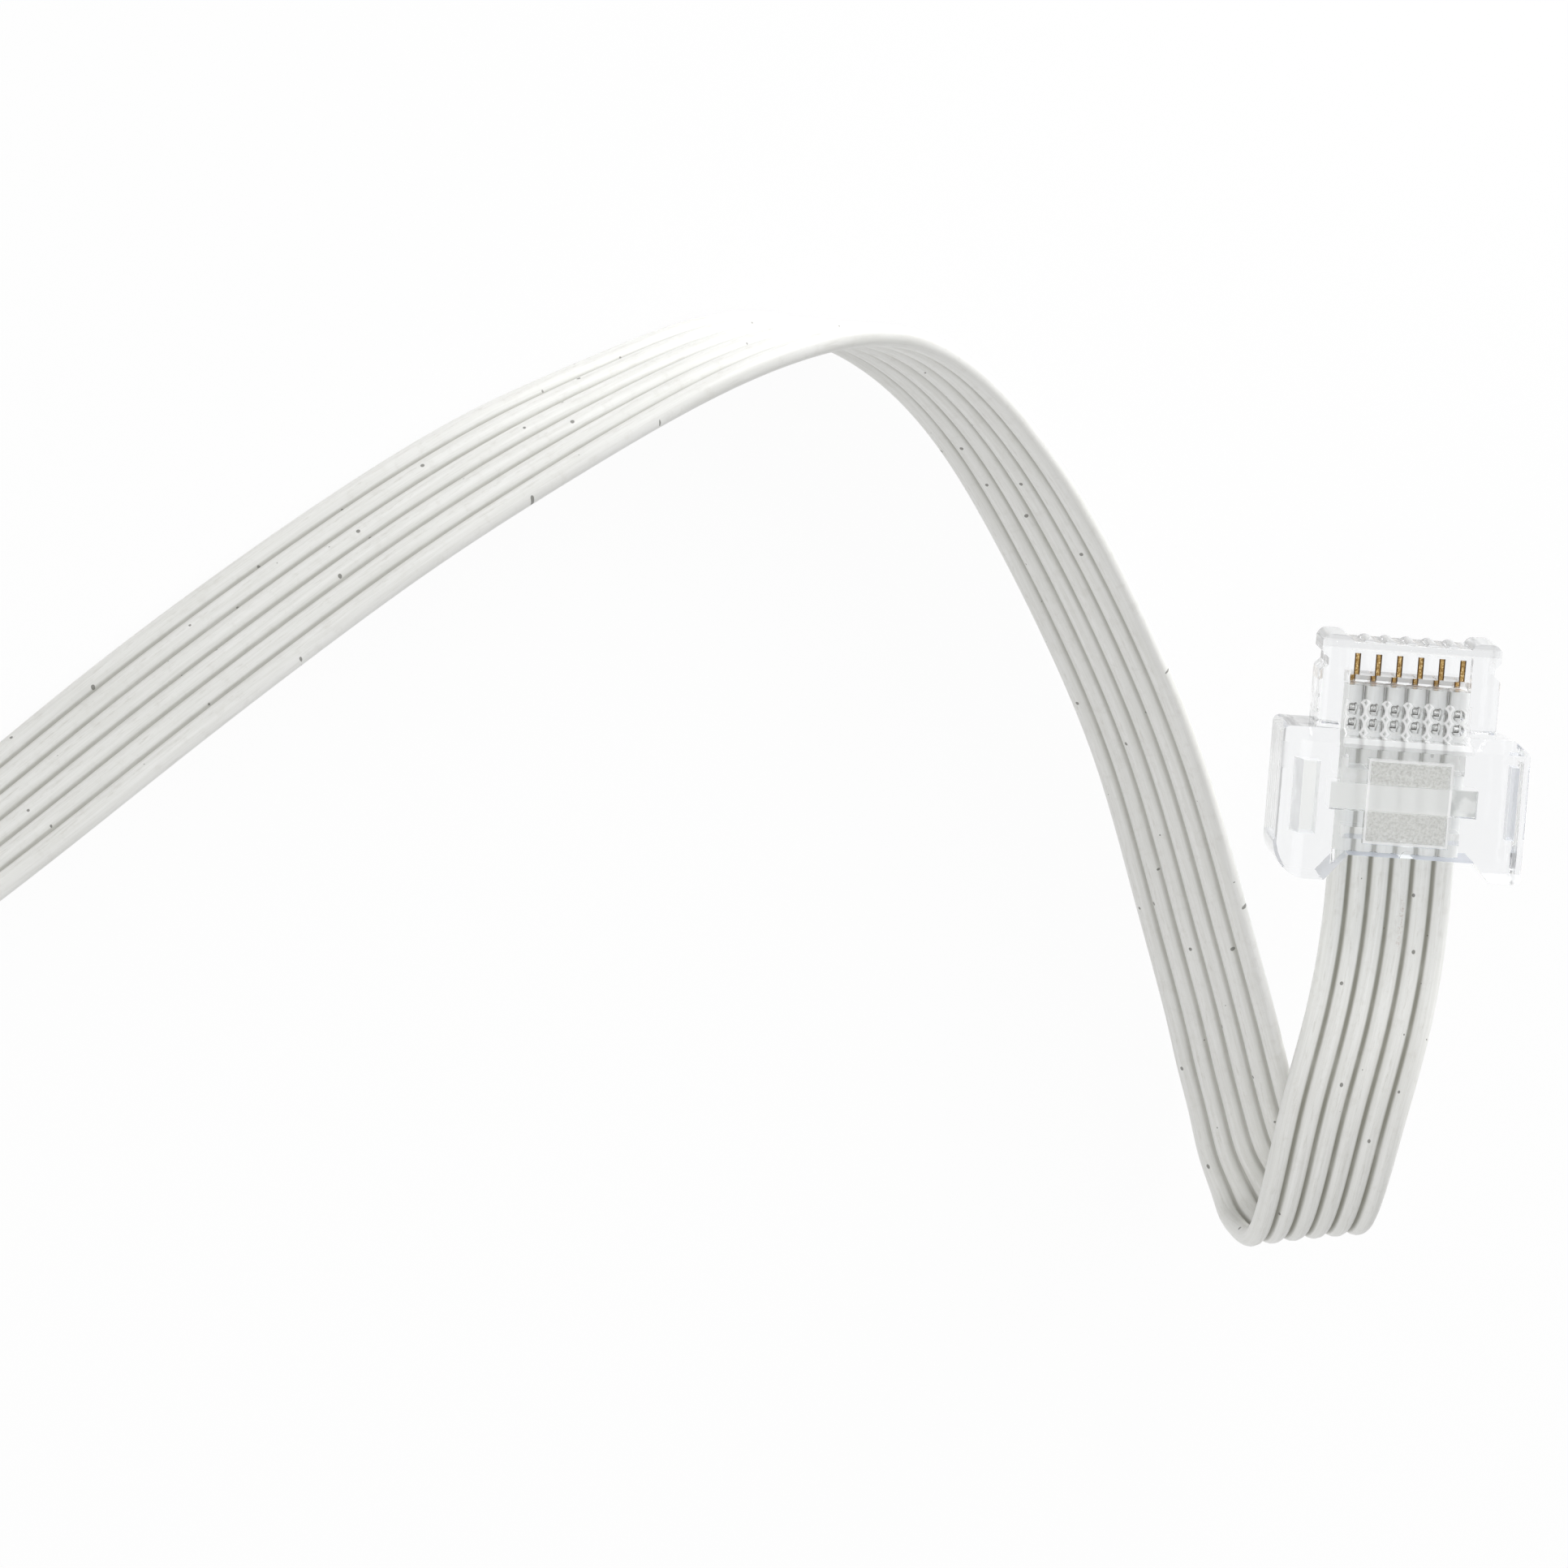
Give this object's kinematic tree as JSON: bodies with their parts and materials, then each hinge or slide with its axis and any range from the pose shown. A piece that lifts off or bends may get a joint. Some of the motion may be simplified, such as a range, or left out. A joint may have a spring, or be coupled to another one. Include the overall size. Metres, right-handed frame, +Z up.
{
  "type": "flat patch cable",
  "caption": "Flat ribbon patch cable with a clear moulded plug at each end, gold contact blades in the plug's nose and a pressed-in strain-relief clamp.",
  "frame": {"origin": "middle of the whole cable's box in X and Y, on the surface that it lies on", "axes": "+X runs from the coil to the plug in view, +Z is up from the surface"},
  "size_m": [0.2155, 0.0845, 0.0161],
  "materials": {
    "clear_plastic": "clear polycarbonate, glossy, with frosted pads",
    "insulation": "satin pale grey ribbon insulation",
    "gold": "gold-plated contact blades",
    "copper": "bare copper strand inside the insulation"
  },
  "bodies": {
    "root": {"near_housing": "clear_plastic", "near_clamp": "clear_plastic", "near_ribbon_end": "insulation", "near_contact_1": "gold", "near_contact_2": "gold", "near_contact_3": "gold", "near_contact_4": "gold", "near_contact_5": "gold", "near_contact_6": "gold", "near_core_1": "copper", "near_core_2": "copper", "near_core_3": "copper", "near_core_4": "copper", "near_core_5": "copper", "near_core_6": "copper", "far_housing": "clear_plastic", "far_clamp": "clear_plastic", "far_ribbon_end": "insulation", "far_contact_1": "gold", "far_contact_2": "gold", "far_contact_3": "gold", "far_contact_4": "gold", "far_contact_5": "gold", "far_contact_6": "gold", "far_core_1": "copper", "far_core_2": "copper", "far_core_3": "copper", "far_core_4": "copper", "far_core_5": "copper", "far_core_6": "copper", "cable_run": "insulation", "cable_coil": "insulation", "cable_tail": "insulation"}
  },
  "joints": []
}
